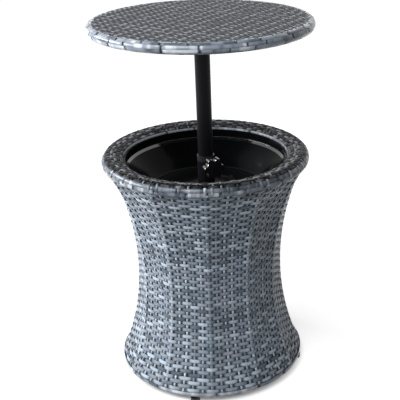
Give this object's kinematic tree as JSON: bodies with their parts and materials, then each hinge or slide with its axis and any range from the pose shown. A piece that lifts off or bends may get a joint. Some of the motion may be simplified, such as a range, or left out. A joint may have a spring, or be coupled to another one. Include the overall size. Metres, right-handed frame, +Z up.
{
  "type": "cooler table",
  "caption": "Round woven hourglass table with an ice bucket under a lid that rises on a clamped telescopic post and turns on it.",
  "frame": {"origin": "on the floor under the middle of the base", "axes": "+Z up along the post, -Y the front, +X to the right seen from the front"},
  "size_m": [0.4999, 0.4998, 0.847],
  "materials": {
    "wicker": "satin woven flat resin strands in mixed greys",
    "edge_strip": "satin flat resin strips laid along the edges",
    "bucket": "glossy black moulded",
    "foot": "matt black",
    "seal": "matt black",
    "knob": "black moulded, half gloss",
    "bush": "black moulded nylon",
    "fastener": "zinc plated",
    "post_paint": "black powder coat, half gloss",
    "frame_paint": "black powder coat, matt"
  },
  "bodies": {
    "base": {"bottom_binding": "edge_strip", "bottom_ring": "frame_paint", "bucket_screws": "fastener", "clamp_boss": "post_paint", "cross_brace": "frame_paint", "fixed_post": "post_paint", "foot_1": "foot", "foot_2": "foot", "foot_3": "foot", "foot_4": "foot", "foot_screws": "fastener", "ice_bucket": "bucket", "inner_edge_binding": "edge_strip", "inner_ring": "frame_paint", "plate_bolts": "fastener", "plate_nuts": "fastener", "post_plate": "frame_paint", "post_seal": "seal", "rib_01": "frame_paint", "rib_02": "frame_paint", "rib_03": "frame_paint", "rib_04": "frame_paint", "rib_05": "frame_paint", "rib_06": "frame_paint", "rib_07": "frame_paint", "rib_08": "frame_paint", "rib_09": "frame_paint", "rib_10": "frame_paint", "rib_11": "frame_paint", "rib_12": "frame_paint", "rim_cover": "wicker", "rim_edge_binding": "edge_strip", "rim_tie_1": "frame_paint", "rim_tie_2": "frame_paint", "rim_tie_3": "frame_paint", "rim_tie_4": "frame_paint", "rim_tie_5": "frame_paint", "rim_tie_6": "frame_paint", "top_bush": "bush", "top_ring": "frame_paint", "waist_hoop": "frame_paint", "wicker_side": "wicker"},
    "lift": {"guide_bush": "bush"},
    "lid": {"top_plate": "frame_paint", "inner_pole": "post_paint", "tabletop_ring": "frame_paint", "crossbar_long": "frame_paint", "crossbar_front": "frame_paint", "crossbar_rear": "frame_paint", "top_edge_binding": "edge_strip", "top_panel": "wicker", "top_screws": "fastener"},
    "clamp_pad": {"pressure_pad": "bush"},
    "clamp_screw": {"knob_stud": "fastener", "clamp_knob": "knob"}
  },
  "joints": [
    {"name": "height_slide", "type": "slide", "parent": "base", "child": "lift", "axis": [0, 0, 1], "range_m": [-0.275, 0]},
    {"name": "lid_swivel", "type": "hinge", "parent": "lift", "child": "lid", "pos_m": [0, 0, 0.48], "axis": [0, 0, 1], "continuous": true},
    {"name": "clamp_travel", "type": "slide", "parent": "base", "child": "clamp_pad", "axis": [0.3746, -0.9272, 0], "range_m": [0, 0.0025]},
    {"name": "clamp_turn", "type": "hinge", "parent": "clamp_pad", "child": "clamp_screw", "pos_m": [0.01349, -0.03338, 0.514], "axis": [0.3746, -0.9272, 0], "range_deg": [0, 720]}
  ],
  "couplings": [
    {"joint": "clamp_travel", "follows": "clamp_turn", "m_per_rad": 0.00019894}
  ]
}
